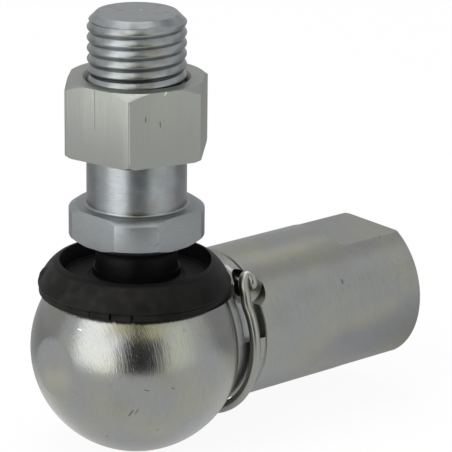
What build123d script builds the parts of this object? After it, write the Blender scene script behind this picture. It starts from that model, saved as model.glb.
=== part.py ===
"""Angle ball joint with threaded ball stud, hexagon nut, rubber sealing cap and wire safety clip.

Frame: origin at the ball's centre, +Z up the stud, +X out along the threaded shank. Millimetres and degrees.
Threads are plain cylinders: the stud at its major diameter, the shank's bore at its tapping diameter.
"""

from build123d import *
import os
from math import cos, radians, sin, sqrt

# ---- Driving dimensions ----

# Ball and stud
ball_d = 19.0
ball_flat_d = 6.0
neck_d = 11.5
neck_fillet = 2.0
collar_d = 19.0
collar_af = 17.0
collar_turn = 6.5
collar_low_z = 16.3
collar_height = 4.9
collar_chamfer_in = 0.9
collar_chamfer_high = 0.6
stud_d = 14.0
stud_end_z = 48.5
stud_end_chamfer = 1.2
thread_crest_drop = 0.1
thread_start_inset = 0.4

# Hexagon nut
nut_af = 18.7
nut_low_z = 29.0
nut_height = 10.5
nut_turn = 15.6
nut_fit = 0.05
nut_sink = 0.5
nut_chamfer_slope = 30.0
nut_chamfer_out = 0.15
nut_low_corner_cut = 0.45

# Head (ball socket) and threaded shank
head_d = 30.0
pole_flat_d = 8.5
socket_fit = 0.1
mouth_chamfer = 0.4
boss_wall = 1.6
boss_height = 1.0
trench_reach = 0.2
bead_groove_width = 0.5
bead_groove_depth = 0.4
head_edge_step = 1.63
head_edge_chamfer = 0.25
shank_d = 22.0
shank_end_x = 45.0
shank_end_chamfer = 0.3
shank_flat_af = 18.7
shank_flat_length = 10.6
shank_flat_runout = 1.0
clip_neck_step = 0.2
clip_neck_length = 6.4
clip_neck_fillet = 0.6
tap_d = 12.4
tap_floor = 4.2
tap_mouth_chamfer = 0.9
drill_point_slope = 30.0

# Snap ring in the socket
ring_wire_d = 1.8
ring_z = 4.5
ring_ball_gap = 0.1
ring_side_gap = 0.05
ring_split = 24.0

# Sealing cap, measured up and in from the outer corner of its hem
cap_gap = 0.06
cap_saddle_gap = 0.12
cap_hem_drop = 1.58
cap_hem_wall = 1.25
cap_shank_gap = 1.0
cap_crease_rise = 0.9
cap_wide_rise = 1.2
cap_wide_out = 0.15
cap_high_rise = 2.7
cap_high_in = 0.65
cap_shoulder_rise = 3.7
cap_shoulder_in = 1.45
cap_rim_rise = 4.55
cap_rim_in = 2.55
cap_rim_width = 0.5
cap_bowl_in = 1.5
cap_floor = 0.9
cap_lip_gap = 0.15
cap_lip_rise = 1.1

# Safety clip and its hole and slots in the neck
wire_d = 1.5
bow_gap = 0.17
bow_back = 3.37
bow_drop = 0.18
bow_skew = 0.06
bow_near_angle = 150.5
bow_far_angle = 385.0
cross_hole_d = 3.6
cross_hole_back = 0.8
cross_hole_cover = 1.1
cross_hole_sink_d = 5.4
clip_slot_width = 3.9
clip_slot_depth = 1.1
clip_slot_low_angle = 5.0
clip_slot_high_angle = 45.0
leg_rise = 0.1
leg_straight_in = 1.25
bend_out = 1.75
bend_back = 1.4
bend_drop = 0.4
hook_in = 0.7
leg_past_hook = 1.1
hook_gap = 0.12
hook_lead = 2.4
hook_reach = 1.9

# ---- Worked-out sizes shared by several pieces ----
ball_r = ball_d / 2
head_r = head_d / 2
socket_r = ball_r + socket_fit
neck_r = neck_d / 2
stud_r = stud_d / 2
stud_thread_r = stud_r - thread_crest_drop
shank_r = shank_d / 2
clip_neck_r = shank_r - clip_neck_step
ring_wire_r = ring_wire_d / 2
ring_center_r = sqrt((ball_r + ring_ball_gap + ring_wire_r) ** 2 - ring_z**2)
wire_r = wire_d / 2
bow_r = clip_neck_r + bow_gap + wire_r


def on_sphere(radius, level):
    """Distance from the axis of a sphere's surface at a level along that axis."""
    return sqrt(radius**2 - level**2)


def on_bow(angle):
    """Point of the clip's bow at an angle about the shank's axis, in the bow's slightly skewed plane."""
    across = bow_r * cos(radians(angle))
    return (bow_x - bow_skew * across, across, bow_r * sin(radians(angle)) - bow_drop)


# the socket's boss meets the head's sphere at its top, and the neck meets it in a step
boss_r = socket_r + boss_wall
head_top_z = on_sphere(head_r, boss_r)
trench_z = head_top_z - boss_height
trench_r = on_sphere(head_r, trench_z) + trench_reach
bead_groove_z = trench_z + (boss_height - bead_groove_width) / 2
head_edge_x = on_sphere(head_r, clip_neck_r + head_edge_step)

# the neck ends clear of both the head's edge and the sealing cap's hem
hem_z = head_top_z - cap_hem_drop
hem_in_r = on_sphere(head_r + cap_gap, hem_z)
hem_r = hem_in_r + cap_hem_wall
shank_start_x = max(head_edge_x + clip_neck_length, hem_r + cap_shank_gap)
cross_hole_x = shank_start_x - cross_hole_back
cross_hole_z = clip_neck_r - cross_hole_cover - cross_hole_d / 2
leg_z = cross_hole_z + leg_rise
bow_x = shank_start_x - bow_back

os.makedirs("parts", exist_ok=True)

# ---- Housing: head, neck and shank turned about X, socket turned about Z ----
with BuildPart() as housing:
    pole_x = -on_sphere(head_r, pole_flat_d / 2)
    with BuildSketch(Plane.XZ):
        with BuildLine():
            pole = Line((pole_x, 0), (pole_x, pole_flat_d / 2))
            arc = ThreePointArc(
                pole @ 1,
                (0, head_r),
                (head_edge_x, clip_neck_r + head_edge_step),
            )
            Polyline(
                arc @ 1,
                (head_edge_x + head_edge_chamfer, (arc @ 1).Y - head_edge_chamfer),
                (head_edge_x + head_edge_chamfer, clip_neck_r),
                (shank_start_x, clip_neck_r),
                (shank_start_x, shank_r),
                (shank_end_x - shank_end_chamfer, shank_r),
                (shank_end_x, shank_r - shank_end_chamfer),
                (shank_end_x, 0),
                pole @ 0,
            )
        make_face()
        neck_corner = vertices().sort_by_distance((head_edge_x + head_edge_chamfer, clip_neck_r))[0]
        fillet(neck_corner, min(clip_neck_fillet, 0.6 * (head_edge_step - head_edge_chamfer)))
    revolve(axis=Axis.X)

    # wrench flats above and below the shank's end
    with BuildSketch(Plane.XZ) as flat_profile:
        with BuildLine():
            flat_z = shank_flat_af / 2
            start_x = shank_end_x - shank_flat_length
            Polyline(
                (start_x, flat_z),
                (shank_end_x + 1, flat_z),
                (shank_end_x + 1, shank_r + 1),
                (start_x - shank_flat_runout, shank_r + 1),
                (start_x - shank_flat_runout, flat_z + shank_flat_runout),
                (start_x, flat_z),
            )
        make_face()
        mirror(about=Plane.XY)
    extrude(amount=shank_r, both=True, mode=Mode.SUBTRACT)

    # cross hole for the clip's leg, countersunk from both sides
    hole_r = cross_hole_d / 2
    sink_r = cross_hole_sink_d / 2
    sink_y = on_sphere(shank_r, cross_hole_z)
    with BuildSketch(Plane.XY.offset(cross_hole_z)):
        with BuildLine():
            Polyline(
                (cross_hole_x, 0),
                (cross_hole_x + hole_r, 0),
                (cross_hole_x + hole_r, sink_y - sink_r + hole_r),
                (cross_hole_x + sink_r, sink_y),
                (cross_hole_x + sink_r, shank_r),
                (cross_hole_x, shank_r),
                close=True,
            )
        make_face()
        mirror(about=Plane.XZ)
    revolve(axis=Axis((cross_hole_x, 0, cross_hole_z), (0, 1, 0)), mode=Mode.SUBTRACT)

    # slots round the neck below both mouths of the cross hole
    slot_floor_r = clip_neck_r - clip_slot_depth
    with BuildSketch(Plane.YZ.offset(shank_start_x - clip_slot_width)):
        with BuildLine():
            low = radians(clip_slot_low_angle)
            mid = radians((clip_slot_low_angle + clip_slot_high_angle) / 2)
            high = radians(clip_slot_high_angle)
            floor_arc = ThreePointArc(
                (slot_floor_r * cos(low), slot_floor_r * sin(low)),
                (slot_floor_r * cos(mid), slot_floor_r * sin(mid)),
                (slot_floor_r * cos(high), slot_floor_r * sin(high)),
            )
            Polyline(
                floor_arc @ 1,
                (2 * shank_r * cos(high), 2 * shank_r * sin(high)),
                (2 * shank_r * cos(low), 2 * shank_r * sin(low)),
                floor_arc @ 0,
            )
        make_face()
        mirror(about=Plane.XZ)
    extrude(amount=clip_slot_width, mode=Mode.SUBTRACT)

    # boss for the sealing cap, with a trench round it and a groove for the cap's bead
    with BuildSketch(Plane.XZ):
        with BuildLine():
            Polyline(
                (boss_r, trench_z),
                (trench_r, trench_z),
                (trench_r, head_r),
                (0, head_r),
                (0, head_top_z),
                (boss_r, head_top_z),
                (boss_r, bead_groove_z + bead_groove_width),
                (boss_r - bead_groove_depth, bead_groove_z + bead_groove_width),
                (boss_r - bead_groove_depth, bead_groove_z),
                (boss_r, bead_groove_z),
                close=True,
            )
        make_face()
    revolve(axis=Axis.Z, mode=Mode.SUBTRACT)

    # socket for the ball, with the snap ring's groove
    groove_half = ring_wire_r + ring_side_gap
    groove_r = socket_r + ring_wire_d + ring_side_gap
    with BuildSketch(Plane.XZ):
        with BuildLine():
            bowl = ThreePointArc(
                (0, -socket_r),
                (socket_r * sin(radians(45)), -socket_r * cos(radians(45))),
                (socket_r, 0),
            )
            Polyline(
                bowl @ 1,
                (socket_r, ring_z - groove_half),
                (groove_r, ring_z - groove_half),
                (groove_r, ring_z + groove_half),
                (socket_r, ring_z + groove_half),
                (socket_r, head_top_z - mouth_chamfer),
                (socket_r + mouth_chamfer, head_top_z),
                (0, head_top_z),
                bowl @ 0,
            )
        make_face()
    revolve(axis=Axis.Z, mode=Mode.SUBTRACT)

    # tapping hole in the shank's end
    tap_r = tap_d / 2
    drill_x = shank_start_x + tap_floor
    point_length = tap_r * sin(radians(drill_point_slope)) / cos(radians(drill_point_slope))
    with BuildSketch(Plane.XZ):
        with BuildLine():
            Polyline(
                (drill_x - point_length, 0),
                (drill_x, tap_r),
                (shank_end_x - tap_mouth_chamfer, tap_r),
                (shank_end_x, tap_r + tap_mouth_chamfer),
                (shank_end_x, 0),
                close=True,
            )
        make_face()
    revolve(axis=Axis.X, mode=Mode.SUBTRACT)
housing.part.label = "housing"

# ---- Ball stud: one turned piece, with four wrench flats on its collar ----
with BuildPart() as ball_stud:
    ball_flat_z = -on_sphere(ball_r, ball_flat_d / 2)
    collar_r = collar_d / 2
    collar_high_z = collar_low_z + collar_height
    thread_low_z = nut_low_z + thread_start_inset
    with BuildSketch(Plane.XZ):
        with BuildLine():
            foot = Line((0, ball_flat_z), (ball_flat_d / 2, ball_flat_z))
            ball = ThreePointArc(foot @ 1, (ball_r, 0), (neck_r, on_sphere(ball_r, neck_r)))
            Polyline(
                ball @ 1,
                (neck_r, collar_low_z),
                (collar_r - collar_chamfer_in, collar_low_z),
                (collar_r, collar_low_z + collar_chamfer_high),
                (collar_r, collar_high_z - collar_chamfer_high),
                (collar_r - collar_chamfer_in, collar_high_z),
                (stud_r, collar_high_z),
                (stud_r, thread_low_z),
                (stud_thread_r, thread_low_z + thread_crest_drop),
                (stud_thread_r, stud_end_z - stud_end_chamfer),
                (stud_thread_r - stud_end_chamfer, stud_end_z),
                (0, stud_end_z),
                foot @ 0,
            )
        make_face()
        collar_ledge = collar_r - collar_chamfer_in - neck_r
        fillet(vertices().sort_by_distance((neck_r, collar_low_z))[0], min(neck_fillet, 0.8 * collar_ledge))
    revolve(axis=Axis.Z)
    with BuildSketch(Plane.XY.offset(collar_low_z)):
        Circle(collar_d)
        Rectangle(collar_af, collar_af, rotation=collar_turn, mode=Mode.SUBTRACT)
    extrude(amount=collar_height, mode=Mode.SUBTRACT)
ball_stud.part.label = "ball_stud"

# ---- Hexagon nut, chamfered above and lightly below ----
with BuildPart() as hex_nut:
    nut_high_z = nut_low_z + nut_height
    nut_bore_r = stud_thread_r + nut_fit
    sink_top_r = stud_r + nut_sink
    corner_r = nut_af / sqrt(3)
    with BuildSketch(Plane.XY.offset(nut_low_z)):
        RegularPolygon(nut_af / 2, 6, major_radius=False, rotation=nut_turn + 30)
    extrude(amount=nut_height)
    slope = sin(radians(nut_chamfer_slope)) / cos(radians(nut_chamfer_slope))
    top_cut = (corner_r - nut_af / 2 - nut_chamfer_out) * slope
    with BuildSketch(Plane.XZ):
        with BuildLine():
            Polyline(
                (0, nut_low_z),
                (corner_r - nut_low_corner_cut, nut_low_z),
                (corner_r, nut_low_z + nut_low_corner_cut * slope),
                (corner_r, nut_high_z - top_cut),
                (nut_af / 2 + nut_chamfer_out, nut_high_z),
                (0, nut_high_z),
                close=True,
            )
        make_face()
    revolve(axis=Axis.Z, mode=Mode.INTERSECT)
    with BuildSketch(Plane.XZ):
        with BuildLine():
            Polyline(
                (0, nut_low_z),
                (sink_top_r, nut_low_z),
                (nut_bore_r, nut_low_z + sink_top_r - nut_bore_r),
                (nut_bore_r, nut_high_z - sink_top_r + nut_bore_r),
                (sink_top_r, nut_high_z),
                (0, nut_high_z),
                close=True,
            )
        make_face()
    revolve(axis=Axis.Z, mode=Mode.SUBTRACT)
hex_nut.part.label = "hex_nut"

# ---- Snap ring: round wire, split, in the socket's groove ----
with BuildPart() as snap_ring:
    with BuildSketch(Plane.XZ.rotated((0, 0, 180 + ring_split / 2))):
        with Locations((ring_center_r, ring_z)):
            Circle(ring_wire_r)
    revolve(axis=Axis.Z, revolution_arc=360 - ring_split)
snap_ring.part.label = "snap_ring"

# ---- Sealing cap: skirt with a saddle over the neck, foot in the trench, bowl with a lip round the stud ----
with BuildPart() as sealing_cap:
    under_r = head_r + cap_gap
    skirt_in_r = on_sphere(under_r, trench_z)
    under_mid_z = (hem_z + trench_z) / 2
    shoulder = (hem_r - cap_shoulder_in, hem_z + cap_shoulder_rise)
    rim_r = hem_r - cap_rim_in
    rim_z = hem_z + cap_rim_rise
    with BuildSketch(Plane.XZ):
        with BuildLine():
            under_arc = ThreePointArc(
                (hem_in_r, hem_z),
                (on_sphere(under_r, under_mid_z), under_mid_z),
                (skirt_in_r, trench_z),
            )
            Polyline(under_arc @ 1, (skirt_in_r, shoulder[1]), shoulder)
            side = Spline(
                shoulder,
                (hem_r - cap_high_in, hem_z + cap_high_rise),
                (hem_r + cap_wide_out, hem_z + cap_wide_rise),
            )
            Polyline(side @ 1, (hem_r, hem_z + cap_crease_rise), (hem_r, hem_z), under_arc @ 0)
        make_face()
    revolve(axis=Axis.Z)
    with BuildSketch(Plane.YZ.offset(head_edge_x)):
        Circle(clip_neck_r + cap_saddle_gap)
    extrude(amount=shank_start_x - head_edge_x, mode=Mode.SUBTRACT)

    foot_z = trench_z + cap_gap
    foot_r = boss_r + cap_gap
    bead_r = foot_r - bead_groove_depth
    bead_low_z = bead_groove_z + cap_gap
    bead_high_z = bead_groove_z + bead_groove_width - cap_gap
    trench_wall_r = trench_r - cap_gap
    bowl_low_z = head_top_z + cap_gap
    bowl_high_z = bowl_low_z + cap_floor
    lip_r = neck_r + cap_lip_gap
    lip_z = bowl_high_z + cap_lip_rise
    with BuildSketch(Plane.XZ):
        with BuildLine():
            Polyline(
                (lip_r, bowl_low_z),
                (foot_r, bowl_low_z),
                (foot_r, bead_high_z),
                (bead_r, bead_high_z),
                (bead_r, bead_low_z),
                (foot_r, bead_low_z),
                (foot_r, foot_z),
                (skirt_in_r, foot_z),
                (trench_wall_r, bowl_high_z),
                shoulder,
            )
            brow = Spline(shoulder, (rim_r, rim_z), tangents=[(-0.3, 1), (-1, 0.25)])
            Polyline(
                brow @ 1,
                (rim_r - cap_rim_width, rim_z),
                (boss_r - cap_bowl_in, bowl_high_z),
                (lip_r + cap_floor, bowl_high_z),
                (lip_r + cap_floor / 2, lip_z),
                (lip_r, lip_z),
                (lip_r, bowl_low_z),
            )
        make_face()
    revolve(axis=Axis.Z)
sealing_cap.part.label = "sealing_cap"

# ---- Safety clip: one wire, from the leg through the cross hole, round under the neck, to the hook ----
with BuildPart() as safety_clip:
    hole_mouth_y = on_sphere(clip_neck_r, leg_z)
    hook_y = on_bow(bow_far_angle)[1] - hook_in
    hook_z = leg_z + wire_d + hook_gap
    with BuildLine() as clip_path:
        leg = Line(
            (cross_hole_x, hook_y + leg_past_hook, leg_z),
            (cross_hole_x, leg_straight_in - hole_mouth_y, leg_z),
        )
        bow = ThreePointArc(
            on_bow(bow_near_angle),
            on_bow((bow_near_angle + bow_far_angle) / 2),
            on_bow(bow_far_angle),
        )
        Spline(
            leg @ 1,
            (cross_hole_x - bend_back, -hole_mouth_y - bend_out, leg_z - bend_drop),
            bow @ 0,
            tangents=[leg % 1, bow % 0],
        )
        rise = Spline(
            bow @ 1,
            (cross_hole_x - hook_lead, hook_y, leg_z),
            (cross_hole_x, hook_y, hook_z),
            tangents=[bow % 1, (1, 0, 0)],
        )
        Line(rise @ 1, (cross_hole_x + hook_reach, hook_y, hook_z))
    with BuildSketch(Plane(origin=leg @ 0, z_dir=leg % 0)):
        Circle(wire_r)
    sweep(path=clip_path.line)
safety_clip.part.label = "safety_clip"

for piece in (housing, ball_stud, hex_nut, snap_ring, sealing_cap, safety_clip):
    export_step(piece.part, f"parts/{piece.part.label}.step")
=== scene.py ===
"""Angle ball joint: housing with threaded shank, ball stud with nut, rubber sealing cap and wire safety clip.

Everything is in metres in the part's own frame: origin at the ball's centre, +Z up the stud and
+X along the shank.
"""

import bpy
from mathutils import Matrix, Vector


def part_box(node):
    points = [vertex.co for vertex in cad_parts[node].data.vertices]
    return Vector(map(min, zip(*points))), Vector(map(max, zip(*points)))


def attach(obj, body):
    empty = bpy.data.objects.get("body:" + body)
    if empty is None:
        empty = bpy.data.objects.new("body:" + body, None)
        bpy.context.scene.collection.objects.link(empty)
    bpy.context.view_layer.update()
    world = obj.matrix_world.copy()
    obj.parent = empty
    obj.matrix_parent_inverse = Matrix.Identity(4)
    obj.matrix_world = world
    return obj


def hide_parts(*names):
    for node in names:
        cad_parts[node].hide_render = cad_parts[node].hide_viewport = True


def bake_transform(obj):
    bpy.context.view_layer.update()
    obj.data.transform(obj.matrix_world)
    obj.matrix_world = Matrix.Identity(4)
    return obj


bl_info = {
    "name": "Angle Ball Joint",
    "version": (1, 0, 0),
    "blender": (4, 5, 0),
    "location": "View3D > Sidebar > Ball Joint",
    "description": "Builds the visible pieces and the studio of an angle ball joint",
    "category": "Object",
}

from math import acos, asin, cos, pi, radians, sin, sqrt, tan

import bmesh
import bpy
from bpy.props import FloatProperty, FloatVectorProperty, PointerProperty
from mathutils import Matrix, Vector

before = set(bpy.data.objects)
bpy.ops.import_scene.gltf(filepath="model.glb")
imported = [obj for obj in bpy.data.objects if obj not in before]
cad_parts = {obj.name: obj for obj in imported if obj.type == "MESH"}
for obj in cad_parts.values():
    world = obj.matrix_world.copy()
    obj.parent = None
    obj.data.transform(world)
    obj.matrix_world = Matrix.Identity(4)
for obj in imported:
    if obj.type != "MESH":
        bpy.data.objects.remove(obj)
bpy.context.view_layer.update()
HOUSING_LOW, HOUSING_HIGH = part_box("housing")
STUD_LOW, STUD_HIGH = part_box("ball_stud")
NUT_LOW, NUT_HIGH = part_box("hex_nut")
CAP_LOW, CAP_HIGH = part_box("sealing_cap")
MM = 0.001
# points closer than this are merged
WELD = 1e-6
# clearance between the cap and the housing
CAP_GAP = 0.06 * MM
# depth of the stud's grooves as a share of the tapped bore's
STUD_GROOVE_SHARE = 0.52
# how much of the floor the camera sees as plain paper, and how much painted shade dims the floor's glow in
# reflections near the part
FLOOR_SEEN = 0.93
MIRROR_SHADE = 0.5
PANEL_DISTANCE = 0.6


def length(name, text, default):
    return FloatProperty(name=name, description=text, default=default, unit="LENGTH", precision=5)


def colour(name, text, default):
    return FloatVectorProperty(
        name=name, description=text, default=default, size=3, subtype="COLOR", min=0, max=1)


def fraction(name, text, default):
    return FloatProperty(name=name, description=text, default=default, min=0, max=1, subtype="FACTOR")


def bearing(name, text, default):
    return FloatProperty(name=name, description=text, default=radians(default), subtype="ANGLE")


def brightness(name, text, default):
    return FloatProperty(name=name, description=text, default=default, min=0)


class JointSizes(bpy.types.PropertyGroup):
    """Sizes of the joint's visible pieces"""

    head_radius: length("Head radius", "Radius of the housing's ball head", HOUSING_HIGH.y)
    pole_flat_radius: length("Pole flat", "Radius of the turned flat on the head's nose", 0.00425)
    head_step: length("Head step", "Height of the head's edge above the neck", 0.00163)
    neck_radius: length("Neck radius", "Radius of the neck that the clip grips", HOUSING_HIGH.z - 0.0002)
    neck_end: length("Neck end", "Where the neck ends and the shank begins, along the shank", 0.0148)
    shank_radius: length("Shank radius", "Radius of the threaded shank", HOUSING_HIGH.z)
    shank_end: length("Shank end", "Where the shank ends", HOUSING_HIGH.x)
    flat_height: length("Flat height", "Height of the shank's wrench flats over its axis", 0.00935)
    flat_length: length("Flat length", "Length of the shank's wrench flats", 0.0106)
    hole_x: length("Cross hole", "Where the clip's cross hole is, along the shank", 0.014)
    hole_z: length("Cross hole height", "Height of the cross hole over the shank's axis", 0.0079)
    hole_radius: length("Cross hole radius", "Radius of the cross hole", 0.0018)
    boss_radius: length("Boss radius", "Radius of the boss round the socket's mouth", 0.0112)
    boss_top: length("Boss top", "Level of the socket's mouth", 0.01)
    pitch: length("Thread pitch", "Rise of the thread in one turn", 0.0015)
    thread_depth: length("Thread depth", "Depth of the thread's groove", 0.00082)
    stud_radius: length("Stud radius", "Radius of the plain part of the stud", 0.007)
    crest_radius: length("Crest radius", "Radius of the thread's crests", 0.00688)
    collar_low: length("Collar bottom", "Level of the collar's underside", 0.0163)
    collar_high: length("Collar top", "Level of the collar's top face", 0.0212)
    collar_flat: length("Collar flat", "Half the width over the collar's wrench flats", 0.0085)
    collar_turn: bearing("Collar turn", "Turn of the collar's flats", 6.5)
    nut_flat: length("Nut flat", "Half the width over the nut's flats", 0.00935)
    nut_turn: bearing("Nut turn", "Turn of the nut's flats", 15.6)
    wire_radius: length("Wire radius", "Radius of the safety clip's wire", 0.00075)


class JointFinishes(bpy.types.PropertyGroup):
    """Colours and surface qualities"""

    zinc: colour("Zinc", "Zinc plating on the housing", (0.272, 0.278, 0.265))
    stud_zinc: colour("Stud zinc", "Zinc plating on the stud", (0.262, 0.28, 0.288))
    nut_zinc: colour("Nut zinc", "Zinc plating on the nut", (0.275, 0.284, 0.266))
    wire: colour("Wire", "Spring wire of the clip", (0.27, 0.275, 0.25))
    rubber: colour("Rubber", "Sealing cap", (0.002, 0.002, 0.002))
    zinc_roughness: fraction("Zinc roughness", "Roughness of the plating", 0.17)
    rubber_roughness: fraction("Rubber roughness", "Roughness of the rubber", 0.5)


class JointStudio(bpy.types.PropertyGroup):
    """Light and camera"""

    backdrop: colour("Backdrop", "Colour of the floor and the surroundings", (1.0, 1.0, 1.0))
    sky: brightness("Surroundings", "Light from all round", 0.4)
    key: brightness("Key panel", "Brightness of the bright soft panel", 2.8)
    top: brightness("Top panel", "Brightness of the soft panel overhead", 3.2)
    fill: brightness("Fill panel", "Brightness of the weaker soft panel", 1.4)
    warm: brightness("Warm panels", "Brightness of the warm panels over the camera", 1.25)
    camera_turn: bearing("Camera turn", "Camera's angle round the part", -40.12)
    camera_rise: bearing("Camera rise", "Camera's angle above the horizon", 18.09)
    camera_roll: bearing("Camera roll", "Camera's lean", 0.623)
    distance: length("Distance", "Camera's distance", 0.42346)
    aim_right: length("Aim right", "How far right of the ball's centre the camera aims", 0.01248)
    aim_up: length("Aim up", "How far above the ball's centre the camera aims", 0.01699)
    lens: FloatProperty(name="Lens", description="Focal length on a 36 mm sensor", default=238.26, min=1)


# ---- Shaping helpers ----

def on_sphere(radius, level):
    """Distance from the axis of a sphere's surface at a level along that axis."""
    return sqrt(max(radius**2 - level**2, 0))


def eased(corners, steps=4):
    """Outline with its corners rounded: each corner is (along, radius) or (along, radius, rounding)."""
    outline = []
    for i, corner in enumerate(corners):
        here = Vector(corner[:2])
        if len(corner) < 3 or i in (0, len(corners) - 1):
            outline.append(tuple(here))
            continue
        back = (Vector(corners[i - 1][:2]) - here).normalized()
        on = (Vector(corners[i + 1][:2]) - here).normalized()
        half = back.angle(on) / 2
        reach = corner[2] / tan(half)
        centre = here + (back + on).normalized() * corner[2] / sin(half)
        first, last = here + back * reach - centre, here + on * reach - centre
        bend = first.angle(last)
        for k in range(steps + 1):
            spoke = (first * sin(bend * (1 - k / steps)) + last * sin(bend * k / steps)) / sin(bend)
            outline.append(tuple(centre + spoke))
    return outline


def arc(radius, start, end, count):
    """Points of a sphere's outline between two angles from its lower pole."""
    angles = (start + (end - start) * k / count for k in range(count + 1))
    return [(-radius * cos(a), radius * sin(a)) for a in angles]


def steps_between(start, end, count):
    """Evenly spaced points on a line, without its end."""
    return [tuple(a + (b - a) * k / count for a, b in zip(start, end)) for k in range(count)]


def place(axis, along, radius, angle):
    """Point at a radius and angle about an axis."""
    if axis == "X":
        return (along, radius * cos(angle), radius * sin(angle))
    if axis == "Y":
        return (radius * sin(angle), along, radius * cos(angle))
    return (radius * cos(angle), radius * sin(angle), along)


def put(name, data):
    """New object in the scene."""
    thing = bpy.data.objects.new(name, data)
    bpy.context.scene.collection.objects.link(thing)
    return thing


def mesh_piece(name, points, faces, smooth=32):
    """Object from points and faces, doubles merged, normals outward, smooth but for its sharp edges."""
    mesh = bpy.data.meshes.new(name)
    mesh.from_pydata(points, [], faces)
    close_up(mesh)
    piece = put(name, mesh)
    soften(piece, smooth)
    return piece


def close_up(mesh):
    """Merges doubles, drops what that leaves without a face and turns the normals outward."""
    work = bmesh.new()
    work.from_mesh(mesh)
    bmesh.ops.remove_doubles(work, verts=work.verts, dist=WELD)
    bmesh.ops.delete(work, geom=[e for e in work.edges if not e.link_faces], context="EDGES")
    bmesh.ops.delete(work, geom=[v for v in work.verts if not v.link_faces], context="VERTS")
    bmesh.ops.recalc_face_normals(work, faces=work.faces)
    work.to_mesh(mesh)
    work.free()


def soften(piece, angle):
    """Smooth shading, broken at edges sharper than the angle."""
    piece.data.shade_smooth()
    piece.data.set_sharp_from_angle(angle=radians(angle))


def turned(name, axis, outline, angles, shape=None, smooth=32):
    """Closed solid turned about an axis. A shape takes (along, radius, angle) to the real (along, radius)."""
    points, faces = [], []
    count = len(angles)
    for along, radius in outline:
        for angle in angles:
            spot = shape(along, radius, angle) if shape else (along, radius)
            points.append(place(axis, spot[0], spot[1], angle))
    for ring in range(len(outline) - 1):
        for k in range(count):
            a, b = ring * count + k, ring * count + (k + 1) % count
            faces.append((a, b, b + count, a + count))
    return mesh_piece(name, points, faces, smooth)


def round_angles(count, extra=()):
    """Angles all the way round, with the extra ones among them."""
    even = [2 * pi * k / count for k in range(count)]
    extra = [a % (2 * pi) for a in extra]
    kept = [a for a in even if all(abs(a - b) > 0.3 * 2 * pi / count for b in extra)]
    return sorted(kept + extra)


def cut(piece, tool, operation="DIFFERENCE"):
    """Takes one solid out of another, or joins them."""
    modifier = piece.modifiers.new("cut", "BOOLEAN")
    modifier.object = tool
    modifier.operation = operation
    modifier.solver = "EXACT"
    settle(piece)
    bpy.data.objects.remove(tool)


def settle(piece):
    """Turns a piece with its modifiers into a plain mesh."""
    graph = bpy.context.evaluated_depsgraph_get()
    mesh = bpy.data.meshes.new_from_object(piece.evaluated_get(graph))
    old = piece.data
    piece.modifiers.clear()
    piece.data = mesh
    bpy.data.meshes.remove(old)


def bevel(piece, width, angle=28):
    """Breaks the sharp edges of a clean mesh."""
    modifier = piece.modifiers.new("edge", "BEVEL")
    modifier.width = width
    modifier.segments = 2
    modifier.limit_method = "ANGLE"
    modifier.angle_limit = radians(angle)
    modifier.harden_normals = False
    settle(piece)


# ---- Geometry Nodes: screw thread and wire rod ----

class NodeBench:
    """Adds nodes to a tree and wires them in one call each."""

    def __init__(self, tree):
        self.tree = tree

    def add(self, kind, *inputs, **settings):
        """Adds a node. Shader nodes go by their short name, geometry nodes by the full one."""
        node = self.tree.nodes.new(kind if kind.startswith("GeometryNode") else "ShaderNode" + kind)
        for key, value in settings.items():
            setattr(node, key, value)
        for slot, value in enumerate(inputs):
            self.wire(value, node.inputs[slot])
        return node

    def wire(self, value, socket):
        if value is None:
            return
        if isinstance(value, bpy.types.NodeSocket):
            self.tree.links.new(value, socket)
        elif isinstance(value, bpy.types.Node):
            self.tree.links.new(value.outputs[0], socket)
        else:
            socket.default_value = value

    def math(self, operation, *inputs, clamp=False):
        return self.add("Math", *inputs, operation=operation, use_clamp=clamp).outputs[0]

    def plus(self, a, b):
        return self.math("ADD", a, b)

    def minus(self, a, b):
        return self.math("SUBTRACT", a, b)

    def times(self, a, b):
        return self.math("MULTIPLY", a, b)

    def over(self, a, b):
        return self.math("DIVIDE", a, b)

    def ramp(self, value, start, end, first=0.0, last=1.0):
        """Value carried from one range to another and held at its ends."""
        return self.add("MapRange", value, start, end, first, last).outputs[0]

    def parts(self, vector):
        return self.add("SeparateXYZ", vector).outputs

    def from_axis(self, x, y):
        """Distance from the axis."""
        return self.math("POWER", self.plus(self.times(x, x), self.times(y, y)), 0.5)

    def noise(self, vector, scale, detail=2.0, roughness=0.5):
        texture = self.add("TexNoise", vector)
        for label, value in (("Scale", scale), ("Detail", detail), ("Roughness", roughness)):
            self.wire(value, texture.inputs[label])
        return texture.outputs[0]

    def group(self, name, *inputs):
        """Output of a shared shader group."""
        tree = bpy.data.node_groups.get(name) or GROUPS[name]()
        return self.add("Group", *inputs, node_tree=tree).outputs[0]


def socket_kind(default):
    """Kind of socket that holds a value. A word names the kind of one that has no default."""
    if isinstance(default, str):
        return "NodeSocket" + default
    if isinstance(default, tuple):
        return "NodeSocketVector" if len(default) == 3 else "NodeSocketColor"
    return "NodeSocketInt" if isinstance(default, int) else "NodeSocketFloat"


def node_group(name, kind, inputs, output):
    """Empty node group with named inputs and one output, a (name, kind): (bench, inputs, output node)."""
    tree = bpy.data.node_groups.new(name, kind)
    for label, default in inputs.items():
        socket = tree.interface.new_socket(label, in_out="INPUT", socket_type=socket_kind(default))
        if not isinstance(default, str):
            socket.default_value = default
    tree.interface.new_socket(output[0], in_out="OUTPUT", socket_type=socket_kind(output[1]))
    return NodeBench(tree), tree.nodes.new("NodeGroupInput").outputs, tree.nodes.new("NodeGroupOutput")


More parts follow.
